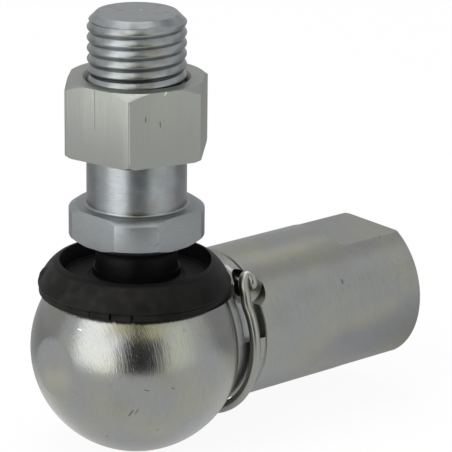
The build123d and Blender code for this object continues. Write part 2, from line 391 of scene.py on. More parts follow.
def screw_tree():
    """Closed screw solid about Z: a grid wound into a helix, its profile worked out from pitch and depth."""
    bench, given, result = node_group("screw_thread", "GeometryNodeTree", {
        "Geometry": "Geometry", "Start": 0.03, "End": 0.0485, "Pitch": 0.0015, "Crest Radius": 0.0069,
        "Depth": 0.0008, "Phase": 0.0, "Crest Share": 0.2, "Root Share": 0.2, "Roundness": 1.0,
        "Start Chamfer": 0.0, "End Chamfer": 0.0012, "Rows per Turn": 14, "Steps": 120,
        "Material": "Material",
    }, ("Geometry", "Geometry"))
    m, plus, minus, times, over = bench.math, bench.plus, bench.minus, bench.times, bench.over
    start, end, pitch = given["Start"], given["End"], given["Pitch"]
    crest, depth, steps = given["Crest Radius"], given["Depth"], given["Steps"]
    per_turn = given["Rows per Turn"]
    turns = plus(over(minus(end, start), pitch), 2.0)
    rows = plus(m("CEIL", times(turns, per_turn)), 3.0)
    across = plus(steps, 1.0)
    grid = bench.add("GeometryNodeMeshGrid", 1.0, 1.0, rows, across)
    index = bench.add("GeometryNodeInputIndex").outputs[0]
    row = m("FLOOR", over(plus(index, 0.5), across))
    column = minus(index, times(row, across))
    part = over(column, steps)
    angle = times(part, 2 * pi)
    climb = minus(plus(over(minus(row, 1.0), per_turn), part), 1.0)
    raw = plus(start, times(climb, pitch))
    level = m("MINIMUM", m("MAXIMUM", raw, start), end)
    # 0 at a crest's middle and 0.5 at a root's middle
    lap = m("FRACT", minus(plus(over(level, pitch), given["Phase"]), part))
    off = minus(0.5, m("ABSOLUTE", minus(lap, 0.5)))
    flat = over(given["Crest Share"], 2.0)
    floor = minus(0.5, over(given["Root Share"], 2.0))
    fall = bench.ramp(off, flat, floor)
    groove = m("POWER", fall, given["Roundness"])
    radius = minus(crest, times(depth, groove))
    end_cone = plus(minus(crest, given["End Chamfer"]), minus(end, level))
    start_cone = plus(minus(crest, given["Start Chamfer"]), minus(level, start))
    radius = m("MINIMUM", radius, m("MINIMUM", end_cone, start_cone))
    last = minus(rows, 1.5)
    inside = times(m("GREATER_THAN", row, 0.5), m("LESS_THAN", row, last))
    radius = times(radius, inside)
    spot = bench.add("CombineXYZ", times(radius, m("COSINE", angle)),
                     times(radius, m("SINE", angle)), level)
    shaped = bench.add("GeometryNodeSetPosition", grid.outputs["Mesh"], None, spot)
    merged = bench.add("GeometryNodeMergeByDistance", shaped)
    merged.inputs["Distance"].default_value = 2e-6
    real = bench.add("GeometryNodeRealizeInstances", merged)
    dressed = bench.add("GeometryNodeSetMaterial", real, None, given["Material"])
    bench.wire(dressed, result.inputs[0])
    return bench.tree


def rod_tree():
    """Round wire along a curve, with closed ends."""
    bench, given, result = node_group("wire_rod", "GeometryNodeTree", {
        "Geometry": "Geometry", "Wire Radius": 0.00075, "Path Points": 260, "Sides": 32,
        "Material": "Material",
    }, ("Geometry", "Geometry"))
    even = bench.add("GeometryNodeResampleCurve", given["Geometry"])
    bench.wire(given["Path Points"], even.inputs["Count"])
    ring = bench.add("GeometryNodeCurvePrimitiveCircle")
    bench.wire(given["Sides"], ring.inputs["Resolution"])
    bench.wire(given["Wire Radius"], ring.inputs["Radius"])
    tube = bench.add("GeometryNodeCurveToMesh", even, ring)
    tube.inputs["Fill Caps"].default_value = True
    real = bench.add("GeometryNodeRealizeInstances", tube)
    dressed = bench.add("GeometryNodeSetMaterial", real, None, given["Material"])
    bench.wire(dressed, result.inputs[0])
    return bench.tree


def grow(piece, tree, **values):
    """Runs a Geometry Nodes tree on a piece and keeps its result as a plain mesh."""
    modifier = piece.modifiers.new(tree.name, "NODES")
    modifier.node_group = tree
    sockets = {s.name: s.identifier for s in tree.interface.items_tree
               if s.item_type == "SOCKET" and s.in_out == "INPUT"}
    for label, value in values.items():
        modifier[sockets[label.replace("_", " ")]] = value
    graph = bpy.context.evaluated_depsgraph_get()
    mesh = bpy.data.meshes.new_from_object(piece.evaluated_get(graph))
    name = piece.name
    bpy.data.objects.remove(piece)
    grown = put(name, mesh)
    close_up(mesh)
    return grown


def screw(name, turn_to=None, **values):
    """Screw solid about Z, turned to another axis if asked."""
    seed = put(name, bpy.data.meshes.new(name))
    solid = grow(seed, bpy.data.node_groups.get("screw_thread") or screw_tree(), **values)
    if turn_to:
        solid.data.transform(turn_to)
    return solid


# ---- Materials ----

def around_group():
    """Coordinates round the Z axis: across the turning marks, then the direction from the axis."""
    bench, given, result = node_group(
        "around_axis", "ShaderNodeTree", {"Vector": "Vector"}, ("Vector", "Vector"))
    x, y, z = bench.parts(given[0])
    radius = bench.math("MAXIMUM", bench.from_axis(x, y), 1e-5)
    turned_to = bench.add("CombineXYZ", bench.plus(radius, z), bench.over(x, radius), bench.over(y, radius))
    bench.wire(turned_to, result.inputs[0])
    return bench.tree


def marks_group():
    """Fine marks, long in the direction where the stretch is small."""
    bench, given, result = node_group("tool_marks", "ShaderNodeTree", {
        "Vector": "Vector", "Stretch": (5000, 5, 5), "Contrast": 2.0}, ("Height", "Float"))
    spread = bench.add("VectorMath", given["Vector"], given["Stretch"], operation="MULTIPLY")
    centred = bench.minus(bench.noise(spread, 1.0, 3.0, 0.65), 0.5)
    strong = bench.times(centred, given["Contrast"])
    bench.wire(bench.math("ADD", strong, 0.5, clamp=True), result.inputs[0])
    return bench.tree


def bloom_group():
    """Cloudy tint of the passivated zinc, from yellowish through neutral to bluish violet."""
    bench, given, result = node_group("zinc_bloom", "ShaderNodeTree", {
        "Vector": "Vector", "Color": (0.3, 0.3, 0.3, 1), "Scale": 130.0, "Amount": 1.0}, ("Color", "Color"))
    ramp = bench.add("ValToRGB", bench.noise(given["Vector"], given["Scale"]))
    stops = ramp.color_ramp.elements
    stops[0].position, stops[0].color = 0.32, (1.10, 1.08, 0.90, 1)
    stops[1].position, stops[1].color = 0.68, (0.93, 0.94, 1.06, 1)
    middle = stops.new(0.5)
    middle.color = (1, 1, 1, 1)
    tinted = bench.add("Mix", data_type="RGBA", blend_type="MULTIPLY")
    bench.wire(given["Amount"], tinted.inputs["Factor"])
    bench.wire(given["Color"], tinted.inputs["A"])
    bench.wire(ramp.outputs[0], tinted.inputs["B"])
    bench.wire(tinted.outputs["Result"], result.inputs[0])
    return bench.tree


def specks_group():
    """Small scattered pits or dust."""
    bench, given, result = node_group("specks", "ShaderNodeTree", {
        "Vector": "Vector", "Scale": 900.0, "Size": 0.12, "Share": 0.2}, ("Mask", "Float"))
    cells = bench.add("TexVoronoi", given["Vector"])
    bench.wire(given["Scale"], cells.inputs["Scale"])
    near = bench.ramp(cells.outputs["Distance"], given["Size"], 0.0)
    pick = bench.add("SeparateColor", cells.outputs["Color"])
    chosen = bench.math("LESS_THAN", pick.outputs[0], given["Share"])
    bench.wire(bench.math("MULTIPLY", near, chosen, clamp=True), result.inputs[0])
    return bench.tree


def soft_line_group():
    """Soft line between two points: the mask for scratches and dents, for painted highlights, reflections and
    shade on the parts, and for the painted shadow on the floor.
    """
    bench, given, result = node_group("soft_line", "ShaderNodeTree", {
        "Vector": "Vector", "Start": (0, 0, 0), "End": (0, 0, 0.001), "Width": 0.0002}, ("Mask", "Float"))

    def between(operation, *inputs, output=0):
        return bench.add("VectorMath", *inputs, operation=operation).outputs[output]

    arm = between("SUBTRACT", given["Vector"], given["Start"])
    line = between("SUBTRACT", given["End"], given["Start"])
    share = bench.math("DIVIDE", between("DOT_PRODUCT", arm, line, output=1),
                       between("DOT_PRODUCT", line, line, output=1), clamp=True)
    spoke = bench.add("VectorMath", line, None, None, operation="SCALE")
    bench.wire(share, spoke.inputs["Scale"])
    reach = between("LENGTH", between("SUBTRACT", arm, spoke.outputs[0]), output=1)
    mask = bench.add("MapRange", reach, given["Width"], 0.0, 0.0, 1.0, interpolation_type="SMOOTHSTEP")
    bench.wire(mask, result.inputs[0])
    return bench.tree


GROUPS = {"around_axis": around_group, "tool_marks": marks_group, "zinc_bloom": bloom_group,
          "specks": specks_group, "soft_line": soft_line_group}


class Finish:
    """A Principled material with its object coordinates at hand."""

    def __init__(self, name, base, roughness, metallic=1.0):
        self.material = bpy.data.materials.new(name)
        self.material.use_nodes = True
        self.bench = NodeBench(self.material.node_tree)
        self.shader = self.material.node_tree.nodes["Principled BSDF"]
        self.shader.inputs["Metallic"].default_value = metallic
        self.place = self.bench.add("TexCoord").outputs["Object"]
        self.colour = (*base, 1)
        self.roughness = roughness
        self.height = None

    def group(self, name, *inputs):
        """Output of a shared node group."""
        return self.bench.group(name, *inputs)

    def axis_up(self, axis):
        """Object coordinates turned so that the axis lies along Z."""
        if axis == "Z":
            return self.place
        x, y, z = self.bench.parts(self.place)
        order = (y, z, x) if axis == "X" else (z, x, y)
        return self.bench.add("CombineXYZ", *order).outputs[0]

    def tint(self, mask, colour, strength=None):
        """Lays a colour over the base where the mask is high, weaker by the strength."""
        mix = self.bench.add("Mix", data_type="RGBA")
        self.bench.wire(mask if strength is None else self.bench.times(mask, strength), mix.inputs["Factor"])
        self.bench.wire(self.colour, mix.inputs["A"])
        self.bench.wire((*colour, 1), mix.inputs["B"])
        self.colour = mix.outputs["Result"]

    def speckle(self, scale, size, share, colour, strength):
        """Scatters specks of a colour."""
        self.tint(self.group("specks", self.place, scale, size, share), colour, strength)

    def raise_by(self, mask, amount):
        """Adds to the height, in metres."""
        step = self.bench.times(mask, amount)
        self.height = step if self.height is None else self.bench.plus(self.height, step)

    def roughen(self, mask, amount):
        """Adds to the roughness."""
        self.roughness = self.bench.plus(self.roughness, self.bench.times(mask, amount))

    def marks(self, table):
        """Lays soft lines for scratches, stains and dents, and for painted highlights, reflections and shade:
        ends and width in millimetres, shade, strength, depth in micrometres.
        """
        for start, end, width, shade, strength, depth in table:
            ends = [tuple(v * MM for v in spot) for spot in (start, end)]
            mask = self.group("soft_line", self.place, *ends, width * MM)
            self.tint(mask, shade, strength)
            if depth:
                self.raise_by(mask, -depth * 1e-6)

    def done(self):
        self.bench.wire(self.colour, self.shader.inputs["Base Color"])
        self.bench.wire(self.roughness, self.shader.inputs["Roughness"])
        if self.height is not None:
            bump = self.bench.add("Bump")
            bump.inputs["Strength"].default_value = 1.0
            bump.inputs["Distance"].default_value = 1.0
            self.bench.wire(self.height, bump.inputs["Height"])
            self.bench.wire(bump, self.shader.inputs["Normal"])
        return self.material


def zinc_finish(name, base, roughness, axis, marks, bloom):
    """Zinc plating over turned steel: cloudy tint, turning marks about the axis and a few pits."""
    finish = Finish(name, base, roughness)
    finish.colour = finish.group("zinc_bloom", finish.place, finish.colour, 130.0, bloom)
    around = finish.group("around_axis", finish.axis_up(axis))
    lines = finish.group("tool_marks", around, (5200, 9, 9), 1.8)
    broad = finish.group("tool_marks", around, (1100, 1.5, 1.5), 1.5)
    finish.raise_by(lines, marks)
    finish.raise_by(broad, marks * 1.5)
    finish.roughen(broad, 0.06)
    streaks = finish.bench.ramp(lines, 0.45, 0.95, 0.0, 0.3)
    finish.tint(streaks, (0.17, 0.172, 0.165))
    finish.speckle(420.0, 0.16, 0.22, (0.13, 0.13, 0.12), 0.4)
    finish.speckle(170.0, 0.5, 0.3, (0.16, 0.16, 0.15), 0.22)
    return finish


DARK = (0.06, 0.06, 0.055)
# BROWN: round the stud's foot above the collar it is a painted reflection of the collar with painted contact
# shade; on the thread it is a brown patch
BROWN = (0.2, 0.18, 0.14)
# TAN: lighter yellowish streaks along the shank's top and side are a painted reflection; on the head's nose
# it is a tan patch
TAN = (0.36, 0.345, 0.27)
# BRIGHT: painted highlights and glints, on fine scratches, on the neck's turning marks, down the nut's corner
# and on the stud's end
BRIGHT = (0.75, 0.75, 0.74)
HOUSING_MARKS = (
    ((-9.5, -10.4, -5.1), (-9.3, -10.95, -4.3), 0.2, DARK, 0.8, 12),
    ((-9.0, -11.05, -4.9), (-8.77, -11.44, -4.16), 0.16, DARK, 0.7, 10),
    ((-8.34, -12.43, -1.02), (-7.87, -12.72, -1.19), 0.15, DARK, 0.8, 8),
    ((-4.95, -14.12, -1.02), (-4.6, -14.2, -1.2), 0.15, DARK, 0.7, 8),
    ((-9.87, -5.88, -9.64), (-10.0, -6.1, -9.3), 0.3, DARK, 0.4, 0),
    ((-5.33, -11.55, -7.94), (-5.6, -11.6, -7.8), 0.3, DARK, 0.3, 0),
    # painted glints on fine scratches on the head
    ((-13.08, -3.59, 6.41), (-12.95, -4.09, 6.38), 0.13, BRIGHT, 0.9, 0),
    ((-12.64, -2.11, 7.79), (-12.6, -2.3, 7.79), 0.12, BRIGHT, 0.8, 0),
    ((-9.24, -11.14, 3.93), (-8.66, -11.73, 3.53), 0.1, BRIGHT, 0.5, 0),
    ((-14.9, -1.6, -1.2), (-14.7, 1.2, -2.0), 2.4, TAN, 0.55, 0),
    ((-14.6, -0.5, 3.4), (-14.6, 0.4, 3.4), 2.0, (0.26, 0.255, 0.27), 0.5, 0),
    ((30.51, -9.38, 5.75), (30.51, -9.6, 5.38), 0.28, DARK, 0.75, 20),
    ((34.61, -4.69, 9.95), (34.04, -5.33, 9.62), 0.13, DARK, 0.55, 8),
    ((41.03, -5.75, 9.38), (40.81, -6.21, 9.08), 0.13, DARK, 0.5, 8),
    # painted reflection: lighter yellowish streaks along the shank
    ((18.9, -5.0, 9.8), (27.0, -4.4, 10.1), 2.2, TAN, 0.35, 0),
    ((28.0, -10.98, -0.7), (39.0, -10.96, 0.3), 2.6, TAN, 0.3, 0),
    # painted highlight on the neck's turning marks
    ((13.2, -3.9, 10.1), (13.5, -5.4, 9.4), 0.45, BRIGHT, 0.7, 0),
)
STUD_MARKS = (
    ((-3.32, -8.9, 19.83), (-2.49, -9.17, 20.59), 0.1, DARK, 0.6, 8),
    ((-3.71, -8.74, 17.85), (-2.48, -9.17, 18.57), 0.12, DARK, 0.7, 10),
    ((-6.6, -6.9, 20.2), (-3.4, -8.9, 20.25), 0.13, DARK, 0.5, 6),
    # painted reflection of the collar and painted contact shade round the stud's foot
    ((-6.9, 3.5, 21.6), (-5.0, -5.2, 21.6), 0.45, BROWN, 0.7, 0),
    ((-5.0, -5.2, 21.6), (1.0, -7.0, 21.6), 0.45, BROWN, 0.7, 0),
    ((-6.9, 2.0, 22.4), (-2.0, -6.7, 22.7), 1.3, BROWN, 0.35, 0),
    # painted glint on the stud's end
    ((1.06, 0.44, 48.5), (1.1, 0.5, 48.5), 0.35, BRIGHT, 0.8, 0),
    ((-2.73, -6.31, 44.87), (-0.57, -6.86, 43.23), 1.2, BROWN, 0.5, 0),
)
NUT_MARKS = (
    ((-9.08, -2.24, 39.3), (-9.09, -2.21, 33.83), 0.1, DARK, 0.55, 10),
    ((-5.06, -8.35, 36.21), (-5.06, -8.36, 35.65), 0.16, DARK, 0.8, 14),
    ((-3.02, -8.88, 35.41), (-2.95, -8.9, 34.69), 0.15, DARK, 0.75, 12),
    # painted highlights: a glint near the nut's top and a line down its corner
    ((-2.08, -9.12, 39.5), (-2.32, -9.06, 39.11), 0.16, BRIGHT, 0.7, 0),
    ((-7.38, -7.78, 38.3), (-7.38, -7.78, 30.02), 0.13, BRIGHT, 0.45, 0),
)


def rubber(name, base, roughness, dust_and_sheen_radius):
    """Matt moulded rubber, with a film that is partly dust and partly painted light: it lightens the outer
    slope beyond the given radius, leaves the shaded inside bare, and thins towards the side away from the key
    panel as painted shade.
    """
    finish = Finish(name, base, roughness, 0.0)
    finish.shader.inputs["Specular IOR Level"].default_value = 0.1
    bench = finish.bench
    x, y = bench.parts(finish.place)[:2]
    outside = bench.ramp(bench.from_axis(x, y), dust_and_sheen_radius - 0.1 * MM, dust_and_sheen_radius + 0.1 * MM)
    # dust film that also serves as a painted sheen on the lit outer slope
    dust_and_sheen = bench.ramp(bench.noise(finish.place, 500.0), 0.4, 0.75, 0.25, 0.9)
    # painted shade: the film thins towards the side away from the key panel
    side_shade = bench.ramp(bench.minus(x, y), 0.0, dust_and_sheen_radius * 1.3, 1.0, 0.3)
    finish.tint(bench.times(dust_and_sheen, side_shade), (0.017, 0.0165, 0.0155), outside)
    finish.speckle(500.0, 0.09, 0.1, (0.3, 0.3, 0.29), 0.4)
    return finish.done()


def dress(piece, material):
    """Gives a piece its only material."""
    piece.data.materials.clear()
    piece.data.materials.append(material)


# ---- Stage helpers ----

def seen_rays(bench):
    """1 for the rays that show the background itself: camera, glossy and transmission rays."""
    ray = bench.add("LightPath").outputs
    shown = bench.math("MAXIMUM", ray["Is Camera Ray"], ray["Is Glossy Ray"])
    return bench.math("MAXIMUM", shown, ray["Is Transmission Ray"])


def blank_bench(block):
    """Empty node tree of a material or world."""
    block.use_nodes = True
    block.node_tree.nodes.clear()
    return NodeBench(block.node_tree)


def card(name, pose, wide, high):
    """Flat stage panel, facing along its own Z axis."""
    x, y = wide / 2, high / 2
    mesh = bpy.data.meshes.new(name)
    corners = [pose @ Vector(p) for p in ((-x, -y, 0), (x, -y, 0), (x, y, 0), (-x, y, 0))]
    mesh.from_pydata(corners, [], [(0, 1, 2, 3)])
    panel = put(name, mesh)
    return panel


def studio_front(context):
    """Direction from the stud's axis towards the camera, as an angle from +X."""
    return context.scene.joint_studio.camera_turn - pi / 2


# ---- Pieces ----

class BALLJOINT_OT_housing(bpy.types.Operator):
    """Head, neck and shank with flats, cross hole, clip slots, socket and tapped bore"""

    bl_idname = "balljoint.housing"
    bl_label = "Housing"

    def execute(self, context):
        size = context.scene.joint_sizes
        look = context.scene.joint_finishes
        head, neck, shank = size.head_radius, size.neck_radius, size.shank_radius
        edge = neck + size.head_step
        edge_x = on_sphere(head, edge)
        pole_angle = asin(size.pole_flat_radius / head)
        edge_angle = pi - asin(edge / head)
        ball_head = arc(head, pole_angle, edge_angle, 110)
        flat_start = size.shank_end - size.flat_length
        flat_fade = 3.0 * MM
        nose = ball_head[0][0]
        outline = [(nose, 0)] + steps_between((nose, 0.0005), ball_head[0], 6) + ball_head
        outline += eased([
            ball_head[-1],
            (edge_x + 0.12 * MM, edge - 0.05 * MM),
            (edge_x + 0.25 * MM, edge - 0.25 * MM),
            (edge_x + 0.25 * MM, neck, 0.6 * MM),
            (size.neck_end - 0.02 * MM, neck),
            (size.neck_end + 0.15 * MM, shank),
            (flat_start - flat_fade, shank),
        ], 6)[1:]
        outline += steps_between((flat_start - 2.9 * MM, shank), (flat_start + 0.3 * MM, shank), 24)
        outline += steps_between((flat_start + 0.3 * MM, shank), (size.shank_end - 0.35 * MM, shank), 16)
        outline += eased([
            (size.shank_end - 0.35 * MM, shank),
            (size.shank_end - 0.25 * MM, shank, 0.1 * MM),
            (size.shank_end, shank - 0.25 * MM, 0.1 * MM),
            (size.shank_end, shank - 1.0 * MM),
        ])
        outline.append((size.shank_end, 0))
        runout = 1.6 * MM

        def flats(along, radius, angle):
            up = abs(sin(angle))
            if up < 0.3 or along < flat_start - flat_fade or radius < size.flat_height:
                return along, radius
            rise = max(flat_start - along, 0) / runout
            height = size.flat_height + max(1 - sqrt(max(1 - rise**2, 0)), 0) * runout
            return along, min(radius, height / up)

        side = asin(size.flat_height / shank)
        angles = round_angles(288, [side, pi - side, -side, pi + side])
        body = turned("socket_housing", "X", outline, angles, flats)

        # socket with its ring groove, boss and trench for the sealing cap
        ball = STUD_HIGH.x + 0.1 * MM
        ring_low, ring_high, ring_depth = 3.55 * MM, 5.45 * MM, ball + 1.85 * MM
        bowl = arc(ball, 0, pi / 2, 40)
        bowl += [(ring_low, ball), (ring_low, ring_depth), (ring_high, ring_depth), (ring_high, ball)]
        bowl += [(size.boss_top - 0.4 * MM, ball), (size.boss_top, ball + 0.4 * MM),
                 (head, ball + 0.4 * MM), (head, 0)]
        cut(body, turned("bowl", "Z", bowl, round_angles(160)))
        trench = size.boss_top - 1.0 * MM
        trench_radius = on_sphere(head, trench) + 0.2 * MM
        wide = [(trench, size.boss_radius), (trench, trench_radius), (head + MM, trench_radius),
                (head + MM, 0), (size.boss_top, 0), (size.boss_top, size.boss_radius),
                (trench, size.boss_radius)]
        cut(body, turned("trench", "Z", wide, round_angles(160)))

        # countersunk cross hole and the slots that open towards it
        sink = 2.7 * MM
        sink_y = on_sphere(shank, size.hole_z)
        hole = [(-shank, 0), (-shank, sink), (-sink_y, sink), (-sink_y + 0.9 * MM, size.hole_radius),
                (sink_y - 0.9 * MM, size.hole_radius), (sink_y, sink), (shank, sink), (shank, 0)]
        drill = turned("drill", "Y", hole, round_angles(72))
        drill.data.transform(Matrix.Translation((size.hole_x, 0, size.hole_z)))
        cut(body, drill)
        for sense in (1, -1):
            cut(body, slot_tool(size, sense))

        # tapped bore
        bore_end = size.neck_end + 4.2 * MM
        core = 6.2 * MM
        tip = core * tan(radians(30))
        bore = [(bore_end - tip, 0), (bore_end, core), (size.shank_end - 0.9 * MM, core),
                (size.shank_end + 0.1 * MM, core + 1.0 * MM), (size.shank_end + 0.1 * MM, 0)]
        cut(body, turned("bore", "X", bore, round_angles(120)))
        lay = Matrix.Rotation(radians(90), 4, "Y")
        thread = screw("tap", lay, Start=bore_end + 3 * MM, End=size.shank_end + 0.4 * MM, Pitch=size.pitch,
                       Crest_Radius=core + 0.8 * MM, Depth=size.thread_depth, Crest_Share=0.12,
                       Root_Share=0.25, Start_Chamfer=0.8 * MM, End_Chamfer=0.0, Rows_per_Turn=10, Steps=72)
        cut(body, thread)
        soften(body, 30)
        finish = zinc_finish("zinc_housing", look.zinc, look.zinc_roughness, "X", 1.25e-5, 0.6)
        along = finish.bench.parts(finish.place)[0]
        finish.roughen(finish.bench.ramp(along, edge_x, edge_x + 0.3 * MM), 0.13)
        finish.marks(HOUSING_MARKS)
        dress(body, finish.done())
        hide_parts("housing")
        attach(body, "socket")
        return {"FINISHED"}


def slot_tool(size, sense):
    """Wedge-shaped cutter for the slot round one side of the neck."""
    floor = size.neck_radius - 1.1 * MM
    start, end = size.neck_end - 3.9 * MM, size.neck_end
    points, faces = [], []
    sweep = [radians(5 + 40 * k / 24) for k in range(25)]
    for angle in sweep:
        for along, radius in ((start, floor), (end, floor), (end, floor + 4 * MM), (start, floor + 4 * MM)):
            points.append((along, sense * radius * cos(angle), radius * sin(angle)))
    for k in range(len(sweep) - 1):
        for j in range(4):
            a, b = 4 * k + j, 4 * k + (j + 1) % 4
            faces.append((a, b, b + 4, a + 4))
    faces += [(0, 1, 2, 3), tuple(4 * (len(sweep) - 1) + j for j in range(4))]
    return mesh_piece("slot", points, faces)


def face_radius(angle, turn, count, flat):
    """Radius of a regular prism's side at an angle."""
    step = 2 * pi / count
    off = (angle - turn + step / 2) % step - step / 2
    return flat / cos(off)


class BALLJOINT_OT_ball_stud(bpy.types.Operator):
    """Ball, neck, collar with wrench flats, shank and rolled thread in one piece"""

    bl_idname = "balljoint.ball_stud"
    bl_label = "Ball stud"

    def execute(self, context):
        size = context.scene.joint_sizes
        look = context.scene.joint_finishes
        ball = STUD_HIGH.x
        neck = 5.75 * MM
        low, high = size.collar_low, size.collar_high
        rim = ball - 0.9 * MM
        bevel_rise = 0.6 * MM
        foot = asin(3 * MM / ball)
        top = pi - asin(neck / ball)
        outline = [(STUD_LOW.z, 0)]
        outline += arc(ball, foot, top, 60)
        outline += eased([
            outline[-1],
            (low, neck, 2.0 * MM),
            (low, rim),
            (low + bevel_rise, ball),
            (high - bevel_rise, ball),
            (high, rim),
            (high, size.stud_radius, 0.35 * MM),
            (NUT_LOW.z + 0.4 * MM, size.stud_radius),
            (NUT_LOW.z + 0.6 * MM, size.crest_radius),
            (NUT_LOW.z + 1.0 * MM, size.crest_radius),
            (NUT_LOW.z + 1.0 * MM, 0),
        ], 6)[1:]

        def flats(along, radius, angle):
            if radius < rim - 0.05 * MM or not low - 1e-6 < along < high + 1e-6:
                return along, radius
            side = face_radius(angle, size.collar_turn, 4, size.collar_flat)
            reach = min(radius, side)
            if radius > rim + 0.05 * MM:
                rise = max(min(side, ball) - rim, 0) / (ball - rim) * bevel_rise
                along = low + rise if along < (low + high) / 2 else high - rise
            return along, reach

        corner = acos(size.collar_flat / ball)
        corners = [size.collar_turn + k * pi / 2 + s * corner for k in range(4) for s in (1, -1)]
        stud = turned("ball_stud_body", "Z", outline, round_angles(168, corners), flats)
        bevel(stud, 0.09 * MM)
        thread = screw("thread", Start=NUT_LOW.z + 0.9 * MM, End=STUD_HIGH.z, Pitch=size.pitch,
                       Crest_Radius=size.crest_radius, Depth=size.thread_depth * STUD_GROOVE_SHARE, Phase=0.4,
                       Roundness=1.25, Crest_Share=0.1, Root_Share=0.06, Start_Chamfer=0.2 * MM,
                       End_Chamfer=1.2 * MM)
        cut(stud, thread, "UNION")
        soften(stud, 34)
        finish = zinc_finish("zinc_stud", look.stud_zinc, look.zinc_roughness + 0.1, "Z", 1.2e-5, 0.2)
        bench = finish.bench
        up = bench.parts(finish.place)[2]
        # painted shade: the neck under the collar is darkened to near black, where the collar and the cap's
        # bowl shade it
        neck_shade = bench.ramp(up, low - 0.4 * MM, low - 1.2 * MM)
        finish.tint(neck_shade, (0.03, 0.03, 0.03))
        finish.roughen(bench.ramp(up, high + 0.1 * MM, high), 0.14)
        on_thread = bench.ramp(up, NUT_LOW.z, NUT_HIGH.z)
        finish.speckle(700.0, 0.6, 0.25, (0.13, 0.115, 0.1), bench.times(on_thread, 0.6))
        worn = bench.ramp(bench.noise(finish.place, 420.0), 0.35, 0.7, 0.0, 0.5)
        above = bench.ramp(up, high, high + 0.1 * MM)
        below_end = bench.ramp(up, STUD_HIGH.z - 0.3 * MM, STUD_HIGH.z, 1.0, 0.0)
        finish.tint(worn, (0.18, 0.182, 0.18), bench.times(above, below_end))
        finish.marks(STUD_MARKS)
        dress(stud, finish.done())
        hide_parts("ball_stud")
        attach(stud, "stud")
        return {"FINISHED"}


class BALLJOINT_OT_hex_nut(bpy.types.Operator):
    """Hexagon nut with chamfered corners and countersunk bore"""

    bl_idname = "balljoint.hex_nut"
    bl_label = "Hexagon nut"

    def execute(self, context):
        size = context.scene.joint_sizes
        look = context.scene.joint_finishes
        low, high = NUT_LOW.z, NUT_HIGH.z
        bore, sink = size.crest_radius + 0.07 * MM, size.stud_radius + 0.5 * MM
        washer = size.nut_flat + 0.2 * MM
        corner = size.nut_flat / cos(pi / 6)
        slope = tan(radians(38))
        foot = corner - 0.45 * MM
        big = corner + MM
        outline = [(low + sink - bore, bore), (low, sink), (low, foot), (low + MM, big), (high - MM, big),
                   (high, washer), (high, sink), (high - sink + bore, bore), (low + sink - bore, bore)]

        def hexagon(along, radius, angle):
            side = face_radius(angle, size.nut_turn, 6, size.nut_flat)
            if radius < washer - 1e-6:
                return along, radius
            if radius > corner:
                if along < (low + high) / 2:
                    return low + max(side - foot, 0) * slope, side
                return high - max(side - washer, 0) * slope, side
            return along, min(radius, side)

        corners = [size.nut_turn + pi / 6 + k * pi / 3 for k in range(6)]
        nut = turned("nut_body", "Z", outline, round_angles(180, corners), hexagon)
        bevel(nut, 0.1 * MM)
        soften(nut, 32)
        finish = Finish("zinc_nut", look.nut_zinc, look.zinc_roughness + 0.24)
        finish.colour = finish.group("zinc_bloom", finish.place, finish.colour, 130.0, 0.15)
        brushed = finish.group("tool_marks", finish.place, (5000, 5000, 160), 1.6)
        finish.raise_by(brushed, 1.8e-5)
        finish.marks(NUT_MARKS)
        dress(nut, finish.done())
        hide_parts("hex_nut")
        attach(nut, "nut")
        return {"FINISHED"}


